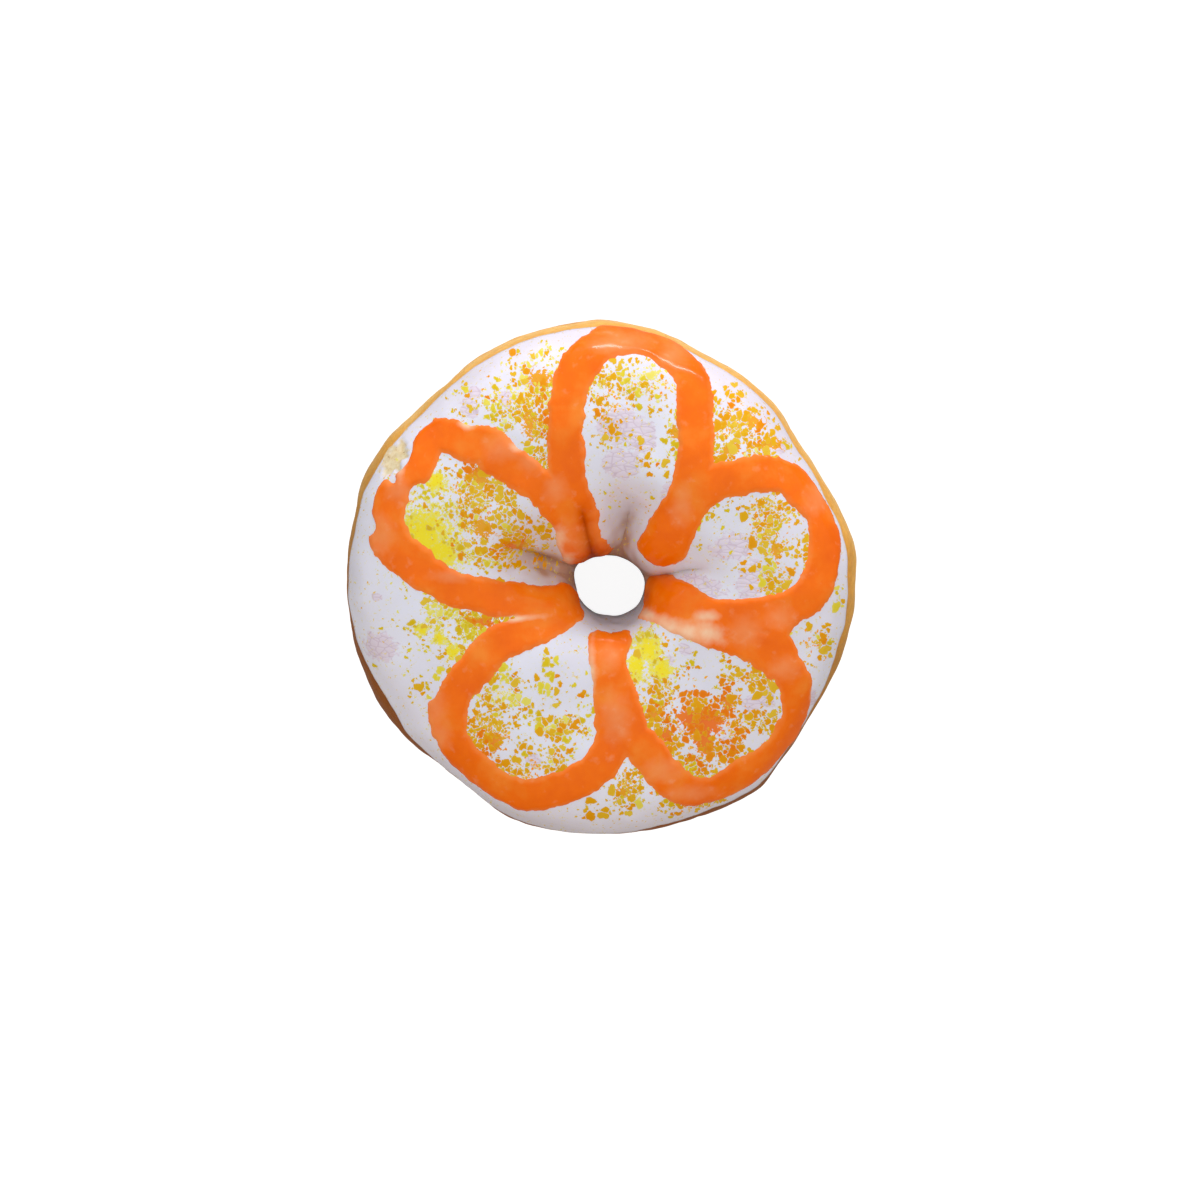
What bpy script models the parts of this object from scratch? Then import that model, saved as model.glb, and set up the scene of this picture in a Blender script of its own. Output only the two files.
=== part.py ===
"""Iced ring doughnut: a raised and fried ring of dough under a sheet of icing that runs into its hole, with a
piped line of five petals fused to the icing. Lengths in this file are millimetres until MM turns them to metres."""

import math

import bmesh
import bpy
import mathutils
import numpy as np

MM = 0.001

# The ring, as (degrees round the hole from +X, radius) where the width changes. A hand-shaped ring isn't a circle.
OUTLINE = (
    (0, 46.1), (9, 46.8), (15, 46.3), (30, 44.8), (38, 44.8), (52, 46.9), (68, 47.5), (80, 49.4),
    (90, 50.7), (105, 50.2), (120, 49.9), (135, 48.6), (147, 50.4), (157, 50.2), (166, 49.2), (180, 49.0),
    (195, 48.4), (214, 47.3), (227, 45.3), (234, 45.2), (248, 46.6), (262, 46.0), (285, 45.6), (298, 46.0),
    (308, 47.0), (317, 45.2), (330, 44.2), (345, 45.2),
)
HOLE = ((0, 8.0), (90, 7.7), (180, 8.1), (270, 7.5))
WAIST = 14.2  # height of the widest line, where the ring floated in the oil
CROWN = 31.6  # height of the dough's top
CROWN_AT = 0.49  # where the top lies between the hole and the outline
SUNK = 0.6  # how much of the round underside is pressed flat by its own weight
SHOULDER = 2.6  # squareness of the outer upper quarter, where 2 is an ellipse
BELLY = 2.5
THROAT = 2.3
# Squareness of the lip of the hole: crisp on the near side, rounder on the far one.
LIP = ((0, 2.5), (30, 2.3), (110, 2.2), (170, 2.3), (200, 2.7), (235, 3.1), (270, 3.4), (310, 3.1), (340, 2.7))
# Valleys that the dough was pulled into round the hole: (degrees, share of the height above the waist lost).
VALLEYS = (
    (2, 0.0), (12, 0.2), (21, 0.34), (31, 0.22), (42, 0.02), (54, 0.02), (64, 0.26), (76, 0.44), (88, 0.34),
    (99, 0.03), (112, 0.0), (124, 0.06), (138, 0.38), (152, 0.52), (166, 0.42), (180, 0.06), (190, 0.0),
)
SWELL = 0.45  # soft unevenness of the risen top

# The icing: height of its outer edge above the waist, by angle, and how far it runs down in the hole.
EDGE = (
    (0, 9.3), (15, 9.0), (30, 8.0), (45, 7.5), (60, 6.4), (75, 6.2), (90, 6.9), (105, 6.0), (120, 6.8),
    (136, 7.1), (149, 9.1), (158, 8.0), (172, 7.1), (190, 7.8), (198, 9.0), (207, 10.8), (217, 10.0),
    (230, 9.5), (248, 10.2), (270, 10.8), (300, 11.1), (315, 10.6), (330, 9.7), (345, 9.4),
)
RUN_DOWN = 6.0
ICING = 1.0
GAP = 0.3
LIP_LENGTH = 2.2  # length over which the icing thins to its rounded edge

# The piped line, petal by petal, as plan points (x, y) from the middle of the hole.
PETALS = {
    "top": (
        (-4.3, 11.4), (-5.9, 17.2), (-7.4, 22.9), (-8.0, 28.2), (-7.8, 35.2), (-6.9, 40.3), (-5.0, 44.0),
        (-1.5, 46.6), (3.2, 47.4), (8.0, 46.7), (12.3, 44.8), (15.1, 42.3), (15.9, 39.1), (16.0, 35.1),
        (16.1, 31.0), (15.6, 26.5), (13.6, 21.1), (11.4, 16.3), (9.6, 11.4),
    ),
    "right": (
        (11.6, 11.0), (14.9, 16.3), (17.7, 20.4), (21.0, 23.0), (24.4, 24.2), (27.8, 24.6), (31.1, 24.0),
        (34.6, 22.0), (37.2, 19.4), (39.0, 16.4), (40.2, 12.2), (40.2, 9.0), (39.3, 5.9), (37.8, 3.0),
        (35.5, 0.6), (32.8, -0.8), (29.7, -1.3), (25.9, -1.4), (21.5, -1.2), (17.0, -0.4), (13.2, 0.8), (10.0, 1.2),
    ),
    "lower right": (
        (9.4, -2.6), (12.8, -2.8), (16.5, -3.7), (20.0, -5.0), (23.5, -6.4), (27.3, -8.2), (30.8, -10.5),
        (33.6, -13.6), (34.8, -17.3), (34.8, -21.3), (33.4, -25.2), (31.0, -28.3), (28.0, -31.0), (24.5, -33.2),
        (20.7, -35.1), (16.8, -36.0), (13.0, -34.9), (9.5, -32.2), (6.4, -28.8), (4.1, -24.8), (2.9, -20.5),
        (1.8, -16.0), (0.9, -11.6), (0.5, -8.6),
    ),
    "lower left": (
        (0.1, -8.6), (0.5, -13.6), (0.8, -19.1), (0.6, -24.2), (-0.6, -28.5), (-2.9, -31.6), (-6.2, -34.0),
        (-10.1, -35.5), (-14.2, -36.1), (-18.1, -35.1), (-21.9, -33.1), (-25.4, -30.4), (-28.2, -27.2),
        (-29.8, -23.5), (-29.9, -19.5), (-28.4, -16.1), (-26.1, -13.2), (-23.7, -10.2), (-20.9, -7.6),
        (-17.4, -6.0), (-13.5, -4.9), (-9.6, -3.8),
    ),
    "left": (
        (-9.2, 0.0), (-12.6, 0.1), (-16.3, 0.3), (-20.9, 0.9), (-25.1, 2.0), (-28.9, 3.1), (-32.4, 4.1),
        (-35.5, 5.9), (-38.7, 8.4), (-40.8, 11.8), (-41.0, 15.5), (-40.0, 19.0), (-38.3, 22.1), (-36.2, 25.3),
        (-34.5, 28.4), (-31.8, 30.5), (-28.9, 30.6), (-25.6, 29.9), (-22.3, 29.2), (-19.8, 27.7), (-17.0, 25.5),
        (-13.9, 23.0), (-11.1, 20.2), (-8.7, 16.6), (-6.6, 12.4),
    ),
}
LINE_WIDTH = 6.6
LINE_RISE = 0.8  # how far the piped line stands above the icing
LINE_ROOT = 0.55  # how far it is sunk into the icing

DOUGH_AROUND, DOUGH_SECTION = 84, 26
SHEET_TOP = 18  # rows of the icing's upper face
SHEET_SPAN = 62.0  # about the length of its section
STATION = 3.0  # spacing of the sections along the piped line


def around(knots, angle):
    """A value that goes smoothly round the ring through (degrees, value) knots."""
    degrees, values = zip(*knots)
    turn = np.degrees(angle)
    total = 0.0
    for step in range(-3, 4):
        total = total + (4 - abs(step)) * np.interp(turn + 2.2 * step, degrees, values, period=360.0)
    return total / 16.0


def ease(value, low, high):
    share = np.clip((value - low) / (high - low), 0.0, 1.0)
    return share * share * (3.0 - 2.0 * share)


def skin(angle, sweep):
    """The dough's surface. The sweep is 0 at the outer waist, a quarter turn at the crown, a half in the hole."""
    angle, sweep = np.broadcast_arrays(np.asarray(angle, float), np.asarray(sweep, float))
    rim, hole = around(OUTLINE, angle), around(HOLE, angle)
    middle = hole + CROWN_AT * (rim - hole)
    outer, upper = np.cos(sweep) >= 0.0, np.sin(sweep) >= 0.0
    square = np.where(upper, np.where(outer, SHOULDER, around(LIP, angle)), np.where(outer, BELLY, THROAT))
    side = np.abs(np.cos(sweep)) ** (2.0 / square)
    rise = np.abs(np.sin(sweep)) ** (2.0 / square)
    radius = middle + np.where(outer, rim - middle, hole - middle) * side
    swell = SWELL * (np.sin(3 * angle + 0.6) * 0.6 + np.sin(5 * angle + radius / 9.0) * 0.4)
    top = (CROWN - WAIST + swell) * rise
    top = top * (1.0 - np.where(outer, 0.0, around(VALLEYS, angle) * ease(side, 0.12, 0.7)))
    height = np.where(upper, WAIST + top, np.maximum(WAIST - (WAIST + SUNK) * rise, 0.0))
    return np.stack([radius * np.cos(angle), radius * np.sin(angle), height], axis=-1)


def outward(angle, sweep):
    step = 0.006
    along = skin(np.asarray(angle) + step, sweep) - skin(np.asarray(angle) - step, sweep)
    across = skin(angle, np.asarray(sweep) + step) - skin(angle, np.asarray(sweep) - step)
    normal = np.cross(along, across)
    return normal / np.linalg.norm(normal, axis=-1, keepdims=True)


def place_of(x, y):
    """The (angle, sweep) of the upper surface over a plan point."""
    angle, radius = np.arctan2(y, x), np.hypot(x, y)
    rim, hole = around(OUTLINE, angle), around(HOLE, angle)
    middle = hole + CROWN_AT * (rim - hole)
    outer = radius >= middle
    side = np.clip(np.where(outer, (radius - middle) / (rim - middle), (middle - radius) / (middle - hole)), 0, 0.995)
    square = np.where(outer, SHOULDER, around(LIP, angle))
    quarter = np.arccos(side ** (square / 2.0))
    return angle, np.where(outer, quarter, math.pi - quarter)


def through(knots, spacing):
    """Points at an even spacing along a smooth curve through the knots."""
    knots = np.array(knots)
    ends = np.concatenate([[2 * knots[0] - knots[1]], knots, [2 * knots[-1] - knots[-2]]])
    fine = []
    for before, start, end, after in zip(ends, ends[1:], ends[2:], ends[3:]):
        for share in np.linspace(0.0, 1.0, 16, endpoint=False):
            fine.append(
                0.5 * (2 * start + (end - before) * share
                       + (2 * before - 5 * start + 4 * end - after) * share**2
                       + (3 * start - before - 3 * end + after) * share**3)
            )
    fine = np.array(fine + [knots[-1]])
    reach = np.concatenate([[0.0], np.cumsum(np.linalg.norm(np.diff(fine, axis=0), axis=1))])
    wanted = np.linspace(0.0, reach[-1], round(reach[-1] / spacing) + 1)
    return np.stack([np.interp(wanted, reach, fine[:, axis]) for axis in range(2)], axis=-1)


def material(name, color, roughness):
    made = bpy.data.materials.new(name)
    made.use_nodes = True
    shader = made.node_tree.nodes["Principled BSDF"]
    shader.inputs["Base Color"].default_value = (*color, 1.0)
    shader.inputs["Roughness"].default_value = roughness
    made.diffuse_color = (*color, 1.0)
    return made


def torus(name, around_count, section_count):
    """A plain torus whose vertices are then moved: gives the object and each vertex's (column, row)."""
    bpy.ops.mesh.primitive_torus_add(
        major_segments=around_count, minor_segments=section_count, major_radius=1.0, minor_radius=0.3
    )
    ring = bpy.context.object
    ring.name = name
    ring.data.name = name
    count = around_count * section_count
    flat = np.empty(count * 3)
    ring.data.vertices.foreach_get("co", flat)
    flat = flat.reshape(-1, 3)
    turn = np.arctan2(flat[:, 1], flat[:, 0])
    tube = np.arctan2(flat[:, 2], np.hypot(flat[:, 0], flat[:, 1]) - 1.0)
    column = np.round(turn / (2 * math.pi) * around_count).astype(int) % around_count
    row = np.round(tube / (2 * math.pi) * section_count).astype(int) % section_count
    return ring, column, row


def dough_ring():
    ring, column, row = torus("dough", DOUGH_AROUND, DOUGH_SECTION)
    angle = column * 2 * math.pi / DOUGH_AROUND
    sweep = row * 2 * math.pi / DOUGH_SECTION
    ring.data.vertices.foreach_set("co", (skin(angle, sweep) * MM).ravel())
    return ring


def edges_of_icing(angle):
    """The sweep at which the icing ends, outside and in the hole."""
    outside = np.arcsin((around(EDGE, angle) / (CROWN - WAIST)) ** (SHOULDER / 2.0))
    inside = math.pi + np.arcsin((RUN_DOWN / (WAIST + SUNK)) ** (THROAT / 2.0))
    return outside, np.full_like(outside, inside)


def icing_sheet():
    """The rows of its section go over the top from edge to edge, then back along the rows of the dough under it."""
    under = [step * 2 * math.pi / DOUGH_SECTION for step in range(14, 1, -1)]
    ring, column, row = torus("icing", DOUGH_AROUND, SHEET_TOP + 2 + len(under))
    angle = column * 2 * math.pi / DOUGH_AROUND
    outside, inside = edges_of_icing(angle)
    share = np.clip((row - 0.5) / SHEET_TOP, 0.0, 1.0)
    from_edge = np.minimum(share, 1.0 - share) * SHEET_SPAN
    bead = np.sqrt(1.0 - (1.0 - np.clip(from_edge / LIP_LENGTH, 0.0, 1.0)) ** 2)
    below = row > SHEET_TOP + 1
    sweep = outside + (inside - outside) * share
    back = np.maximum(np.array([0.0] * (SHEET_TOP + 2) + under)[row], outside + 0.06)
    sweep = np.where(below, back, sweep)
    lift = np.where(below, GAP, GAP + ICING * (0.35 + 0.65 * bead))
    points = skin(angle, sweep) + outward(angle, sweep) * lift[:, None]
    ring.data.vertices.foreach_set("co", (points * MM).ravel())
    return ring


def piped_line(name, knots):
    """One petal: a low rounded bead laid on the icing, made by extruding its section from place to place."""
    plan = through(knots, STATION)
    angle, sweep = place_of(plan[:, 0], plan[:, 1])
    spine = skin(angle, sweep)
    left = np.cross(outward(angle, sweep), np.gradient(spine, axis=0))
    left /= np.linalg.norm(left, axis=1, keepdims=True)
    half = LINE_WIDTH / 2
    section = (
        (-half, -LINE_ROOT), (-half * 0.9, LINE_RISE * 0.3), (-half * 0.5, LINE_RISE), (half * 0.5, LINE_RISE),
        (half * 0.9, LINE_RISE * 0.3), (half, -LINE_ROOT), (0.0, -LINE_ROOT),
    )
    slim = np.ones(len(spine))
    slim[[0, -1]] = 0.6
    corners = []
    for aside, rise in section:
        wide = aside * slim
        place = place_of(spine[:, 0] + wide * left[:, 0], spine[:, 1] + wide * left[:, 1])
        corners.append(skin(*place) + outward(*place) * (GAP + ICING + rise))
    corners = np.stack(corners, axis=1) * MM
    solid = bmesh.new()
    bmesh.ops.create_circle(solid, cap_ends=True, segments=len(section), radius=1.0)
    face = next(iter(solid.faces))
    places = [mathutils.Vector(place) for place in corners[0]]
    for vert, place in zip(face.verts, places):
        vert.co = place
    for station in corners[1:]:
        face = bmesh.ops.extrude_discrete_faces(solid, faces=[face])["faces"][0]
        fresh = list(face.verts)
        order = [min(fresh, key=lambda vert, old=old: (vert.co - old).length_squared) for old in places]
        places = [mathutils.Vector(place) for place in station]
        for vert, place in zip(order, places):
            vert.co = place
    bmesh.ops.holes_fill(solid, edges=solid.edges, sides=len(section))
    bmesh.ops.recalc_face_normals(solid, faces=solid.faces)
    bmesh.ops.triangulate(solid, faces=solid.faces)
    mesh = bpy.data.meshes.new(name)
    solid.to_mesh(mesh)
    solid.free()
    return bpy.data.objects.new(name, mesh)


def fuse(base, toppings):
    """Joins the toppings to the base with one union, then drops them. Flat triangles keep the cut faces true."""
    flat = bmesh.new()
    flat.from_mesh(base.data)
    bmesh.ops.triangulate(flat, faces=flat.faces)
    flat.to_mesh(base.data)
    flat.free()
    group = bpy.data.collections.new("toppings")
    bpy.context.scene.collection.children.link(group)
    for topping in toppings:
        group.objects.link(topping)
    union = base.modifiers.new("fused", "BOOLEAN")
    union.operation = "UNION"
    union.operand_type = "COLLECTION"
    union.collection = group
    union.solver = "MANIFOLD"
    bpy.context.view_layer.objects.active = base
    bpy.ops.object.modifier_apply(modifier=union.name)
    for topping in toppings:
        bpy.data.objects.remove(topping, do_unlink=True)
    bpy.data.collections.remove(group)


def centre(pieces):
    """Puts the middle of the outline over the origin, and the flat of the underside on the floor."""
    low, high = np.full(3, np.inf), np.full(3, -np.inf)
    for piece in pieces:
        flat = np.empty(len(piece.data.vertices) * 3)
        piece.data.vertices.foreach_get("co", flat)
        flat = flat.reshape(-1, 3)
        low, high = np.minimum(low, flat.min(axis=0)), np.maximum(high, flat.max(axis=0))
    shift = -(low + high) / 2
    shift[2] = -low[2]
    for piece in pieces:
        for vert in piece.data.vertices:
            vert.co.x += shift[0]
            vert.co.y += shift[1]
            vert.co.z += shift[2]
        piece.data.update()
    print("hole at", shift[:2] / MM, "size", (high - low) / MM)


for old in list(bpy.data.objects):
    bpy.data.objects.remove(old, do_unlink=True)

dough = dough_ring()
icing = icing_sheet()
fuse(icing, [piped_line("petal " + name, knots) for name, knots in PETALS.items()])
centre([dough, icing])

dough.data.materials.append(material("dough", (0.62, 0.34, 0.11), 0.6))
icing.data.materials.append(material("icing", (0.86, 0.84, 0.88), 0.25))
for piece in (dough, icing):
    piece.data.polygons.foreach_set("use_smooth", [True] * len(piece.data.polygons))
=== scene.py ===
import math

import bmesh
import bpy
import mathutils
import numpy as np
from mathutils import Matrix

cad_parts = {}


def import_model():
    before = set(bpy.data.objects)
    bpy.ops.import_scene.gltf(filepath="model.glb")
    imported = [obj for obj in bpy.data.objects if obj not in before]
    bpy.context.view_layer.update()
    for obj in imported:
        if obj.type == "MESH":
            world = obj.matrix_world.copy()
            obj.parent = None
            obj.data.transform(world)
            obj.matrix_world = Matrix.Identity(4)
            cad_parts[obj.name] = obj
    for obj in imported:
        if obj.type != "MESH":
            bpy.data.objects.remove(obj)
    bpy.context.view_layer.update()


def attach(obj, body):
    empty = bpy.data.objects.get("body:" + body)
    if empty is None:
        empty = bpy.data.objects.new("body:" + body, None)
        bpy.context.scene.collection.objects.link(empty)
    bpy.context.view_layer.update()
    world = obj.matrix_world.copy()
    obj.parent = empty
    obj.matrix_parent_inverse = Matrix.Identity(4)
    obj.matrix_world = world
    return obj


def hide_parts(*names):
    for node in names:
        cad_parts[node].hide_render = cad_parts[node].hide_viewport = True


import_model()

# The dough: a ring of yeast-raised dough, shaped by hand and fried on both sides. It is uneven in outline, pressed
# flat where it lies, pulled into three valleys at its hole, and paler at the waist, which stayed out of the oil.
MM = 0.001
HOLE_AT = np.array([1.34, -2.39, 0.0])  # middle of the hole, from the middle of the outline
OUTLINE = (  # degrees round the hole, and mm from its middle to the rim
    (0, 46.1), (9, 46.8), (15, 46.3), (30, 44.8), (38, 44.8), (52, 46.9), (68, 47.5), (80, 49.4),
    (90, 50.7), (105, 50.2), (120, 49.9), (135, 48.6), (147, 50.4), (157, 50.2), (166, 49.2), (180, 49.0),
    (195, 48.4), (214, 47.3), (227, 45.3), (234, 45.2), (248, 46.6), (262, 46.0), (285, 45.6), (298, 46.0),
    (308, 47.0), (317, 45.2), (330, 44.2), (345, 45.2),
)
HOLE = (  # degrees, and mm from its middle to its wall
    (0, 7.9), (40, 8.2), (90, 7.9), (128, 8.8), (150, 8.6), (172, 7.5), (204, 6.7), (230, 6.3), (268, 6.2),
    (308, 6.9), (338, 7.6),
)
WAIST = 14.2
CROWN = 31.6
CROWN_AT = 0.49
SUNK = 0.6
SHOULDER = 2.6
BELLY = 2.5
THROAT = 2.3
# How square the section is over the lip of the hole, by degrees.
LIP = ((0, 2.8), (30, 2.4), (110, 2.2), (170, 2.4), (200, 3.2), (235, 5.2), (270, 7.0), (310, 5.2), (340, 3.4))
VALLEYS = (  # degrees, and the share of the height that is lost at the hole
    (2, 0.0), (12, 0.2), (21, 0.34), (31, 0.22), (42, 0.02), (54, 0.02), (64, 0.26), (76, 0.44), (88, 0.34),
    (99, 0.03), (112, 0.0), (124, 0.06), (138, 0.38), (152, 0.52), (166, 0.42), (180, 0.06), (190, 0.0),
)
SWELL = 0.45
FOLDS = (  # from x, y to x, y, half width, depth
    (-21.5, 11.2, -8.2, 6.4, 1.2, 2.8), (4.6, 20.0, 2.6, 9.0, 2.1, 2.2), (-5.8, 20.5, -3.4, 9.0, 1.5, 2.6),
    (20.0, 7.0, 9.0, 3.8, 1.3, 2.2), (-17.0, 6.0, -8.5, 3.4, 0.9, 1.0),
)
DOUGH_COLUMNS, DOUGH_ROWS = 400, 120


def around(knots, angle):
    degrees, values = zip(*knots)
    turn = np.degrees(angle)
    total = 0.0
    for step in range(-3, 4):
        total = total + (4 - abs(step)) * np.interp(turn + 2.2 * step, degrees, values, period=360.0)
    return total / 16.0


def ease(value, low, high):
    share = np.clip((value - low) / (high - low), 0.0, 1.0)
    return share * share * (3.0 - 2.0 * share)


def pinched(x, y):
    """Depth in mm of the narrow folds that run into the hole."""
    deep_in_folds = 0.0
    for start_x, start_y, end_x, end_y, wide, depth in FOLDS:
        run_x, run_y = end_x - start_x, end_y - start_y
        share = np.clip(((x - start_x) * run_x + (y - start_y) * run_y) / (run_x**2 + run_y**2), 0.0, 1.0)
        away = np.hypot(x - start_x - share * run_x, y - start_y - share * run_y)
        deep_in_folds = deep_in_folds + depth * ease(share, 0.0, 0.5) * np.exp(-((away / wide) ** 2))
    return deep_in_folds


def skin(angle, sweep):
    """The dough's surface in mm. The sweep is 0 at the outer waist, a quarter turn at the crown, a half in the hole."""
    angle, sweep = np.broadcast_arrays(np.asarray(angle, float), np.asarray(sweep, float))
    rim, hole = around(OUTLINE, angle), around(HOLE, angle)
    middle = hole + CROWN_AT * (rim - hole)
    outer, upper = np.cos(sweep) >= 0.0, np.sin(sweep) >= 0.0
    square = np.where(upper, np.where(outer, SHOULDER, around(LIP, angle)), np.where(outer, BELLY, THROAT))
    side = np.abs(np.cos(sweep)) ** (2.0 / square)
    rise = np.abs(np.sin(sweep)) ** (2.0 / square)
    radius = middle + np.where(outer, rim - middle, hole - middle) * side
    swell = SWELL * (np.sin(3 * angle + 0.6) * 0.6 + np.sin(5 * angle + radius / 9.0) * 0.4)
    top = (CROWN - WAIST + swell) * rise
    top = top * (1.0 - np.where(outer, 0.0, around(VALLEYS, angle) * ease(side, 0.12, 0.7)))
    x, y = radius * np.cos(angle), radius * np.sin(angle)
    height = np.where(upper, WAIST + top - pinched(x, y) * rise, np.maximum(WAIST - (WAIST + SUNK) * rise, 0.0))
    return np.stack([x, y, height], axis=-1)


def outward(angle, sweep):
    step = 0.006
    along = skin(np.asarray(angle) + step, sweep) - skin(np.asarray(angle) - step, sweep)
    across = skin(angle, np.asarray(sweep) + step) - skin(angle, np.asarray(sweep) - step)
    normal = np.cross(along, across)
    return normal / np.linalg.norm(normal, axis=-1, keepdims=True)


def ripple(points, size, seed):
    """Soft unevenness with swells of about this size in mm."""
    draw = np.random.default_rng(seed)
    total = 0.0
    for _ in range(14):
        way = draw.normal(size=3)
        way *= 2 * math.pi / (np.linalg.norm(way) * size * draw.uniform(0.7, 1.6))
        total = total + np.sin(points @ way + draw.uniform(0, 2 * math.pi))
    return total / 4.0


def spun_ring(name, columns, rows):
    """A circle spun into a ring and divided, with each vertex's column round the hole and row round the section."""
    tool = bmesh.new()
    bmesh.ops.create_circle(tool, segments=rows // 4, radius=0.3)
    bmesh.ops.rotate(tool, verts=tool.verts, matrix=mathutils.Matrix.Rotation(math.pi / 2, 3, "X"))
    bmesh.ops.translate(tool, verts=tool.verts, vec=(1.0, 0.0, 0.0))
    bmesh.ops.spin(
        tool, geom=tool.verts[:] + tool.edges[:], axis=(0, 0, 1), cent=(0, 0, 0), steps=columns // 4,
        angle=2 * math.pi, use_merge=True,
    )
    bmesh.ops.subdivide_edges(tool, edges=tool.edges, cuts=3, use_grid_fill=True)
    bmesh.ops.recalc_face_normals(tool, faces=tool.faces)
    mesh = bpy.data.meshes.new(name)
    tool.to_mesh(mesh)
    tool.free()
    mesh.shade_smooth()
    flat = np.empty(len(mesh.vertices) * 3)
    mesh.vertices.foreach_get("co", flat)
    flat = flat.reshape(-1, 3)
    turn = np.arctan2(flat[:, 1], flat[:, 0])
    tube = np.arctan2(flat[:, 2], np.hypot(flat[:, 0], flat[:, 1]) - 1.0)
    ring = bpy.data.objects.new(name, mesh)
    bpy.context.scene.collection.objects.link(ring)
    row = np.round(tube / (2 * math.pi) * rows).astype(int) % rows
    return ring, np.round(turn / (2 * math.pi) * columns).astype(int) % columns, row


def place(piece, points):
    """Puts the piece's vertices at these mm places round the hole."""
    piece.data.vertices.foreach_set("co", ((points + HOLE_AT) * MM).ravel())
    piece.data.update()


def record(piece, name, values):
    """Keeps one number for each vertex, which the piece's material reads."""
    layer = piece.data.attributes.new(name, "FLOAT", "POINT")
    layer.data.foreach_set("value", np.asarray(values, np.float32))


EDGE = (  # degrees, and mm above the waist at which the icing ends outside
    (0, 10.4), (15, 9.9), (30, 8.2), (45, 7.5), (60, 6.4), (75, 6.2), (90, 6.9), (105, 6.0), (120, 6.8),
    (136, 7.1), (149, 9.1), (158, 8.0), (172, 7.1), (190, 8.8), (198, 10.8), (207, 11.6), (217, 10.0),
    (230, 8.6), (248, 8.8), (270, 9.4), (300, 10.4), (315, 9.6), (330, 9.4), (345, 10.2),
)
RUN_DOWN = 6.0
RIM = 47.0  # rough radius of the ring, along which the icing's edge wavers


def edges_of_icing(angle):
    """The sweep at which the icing ends, outside and in the hole."""
    rim = np.stack([RIM * np.cos(angle), RIM * np.sin(angle), 0.0 * angle], axis=-1)
    height = around(EDGE, angle) + 0.35 * ripple(rim, 9.0, 3) + 0.12 * ripple(rim, 3.0, 4)
    outside = np.arcsin(np.clip(height / (CROWN - WAIST), 0.0, 1.0) ** (SHOULDER / 2.0))
    inside = math.pi + np.arcsin((RUN_DOWN / (WAIST + SUNK)) ** (THROAT / 2.0))
    return outside, np.full_like(outside, inside)


dough, column, row = spun_ring("dough_crust", DOUGH_COLUMNS, DOUGH_ROWS)
angle = column * 2 * math.pi / DOUGH_COLUMNS
sweep = row * 2 * math.pi / DOUGH_ROWS
points = skin(angle, sweep)
outside, inside = edges_of_icing(angle)
bare = 1.0 - ease(sweep, outside - 0.05, outside + 0.06) * (1.0 - ease(sweep, inside - 0.06, inside + 0.06))
bare = bare * ease(points[:, 2], 0.0, 1.5)
unevenness = 0.16 * ripple(points, 11.0, 11) + 0.07 * ripple(points, 3.5, 12) - 0.04
place(dough, points + outward(angle, sweep) * (unevenness * bare)[:, None])
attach(dough, "root")
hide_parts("dough")


def tint(code):
    """An sRGB hex value as linear light."""
    parts = [int(code[index:index + 2], 16) / 255.0 for index in (1, 3, 5)]
    return tuple(p / 12.92 if p <= 0.04045 else ((p + 0.055) / 1.055) ** 2.4 for p in parts) + (1.0,)


def add(tree, kind, values=None, links=None, stops=None, **settings):
    """Adds a node with its settings, its values, the sockets that feed it, and a ramp's stops."""
    made = tree.nodes.new(kind)
    for name, value in settings.items():
        setattr(made, name, value)
    for name, value in (values or {}).items():
        made.inputs[name].default_value = value
    for name, source in (links or {}).items():
        tree.links.new(source, made.inputs[name])
    for index, (where, color) in enumerate(stops or ()):
        stop = made.color_ramp.elements[index] if index < 2 else made.color_ramp.elements.new(where)
        stop.position, stop.color = where, color
    return made


def finish(name, piece):
    """A new material on the piece: gives its node tree and its shader."""
    made = bpy.data.materials.new(name)
    made.use_nodes = True
    piece.data.materials.append(made)
    return made.node_tree, made.node_tree.nodes["Principled BSDF"]


# Fried crust: thin, browned and slightly oily. The eye sees golden brown above and below, a paler band at the waist,
# blotches of 5 to 15 mm from uneven heat, fine pores, and a dull shine. The front and left are painted darker, partly
# as deeper browning and partly as painted shade.
tree, shader = finish("fried_crust", dough)
where = add(tree, "ShaderNodeTexCoord").outputs["Object"]
apart = add(tree, "ShaderNodeSeparateXYZ", links={"Vector": where})
blotch = add(tree, "ShaderNodeTexNoise", {"Scale": 110.0, "Detail": 4.0, "Roughness": 0.6}, {"Vector": where})
grain = add(tree, "ShaderNodeTexNoise", {"Scale": 900.0, "Detail": 5.0, "Roughness": 0.7}, {"Vector": where})
shift = add(tree, "ShaderNodeMath", {1: 0.010}, {0: blotch.outputs["Fac"]}, operation="MULTIPLY")
height = add(tree, "ShaderNodeMath", links={0: apart.outputs["Z"], 1: shift.outputs[0]}, operation="ADD")
band = add(tree, "ShaderNodeMapRange", {"From Min": 0.0, "From Max": 0.034}, {"Value": height.outputs[0]})
baked = add(
    tree, "ShaderNodeValToRGB", links={"Fac": band.outputs[0]},
    stops=[
        (0.0, tint("#7E4414")), (0.95, tint("#E0962E")), (0.25, tint("#B06A20")), (0.42, tint("#DC9634")),
        (0.56, tint("#FCD07C")), (0.72, tint("#F8BC54")),
    ],
)
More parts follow.
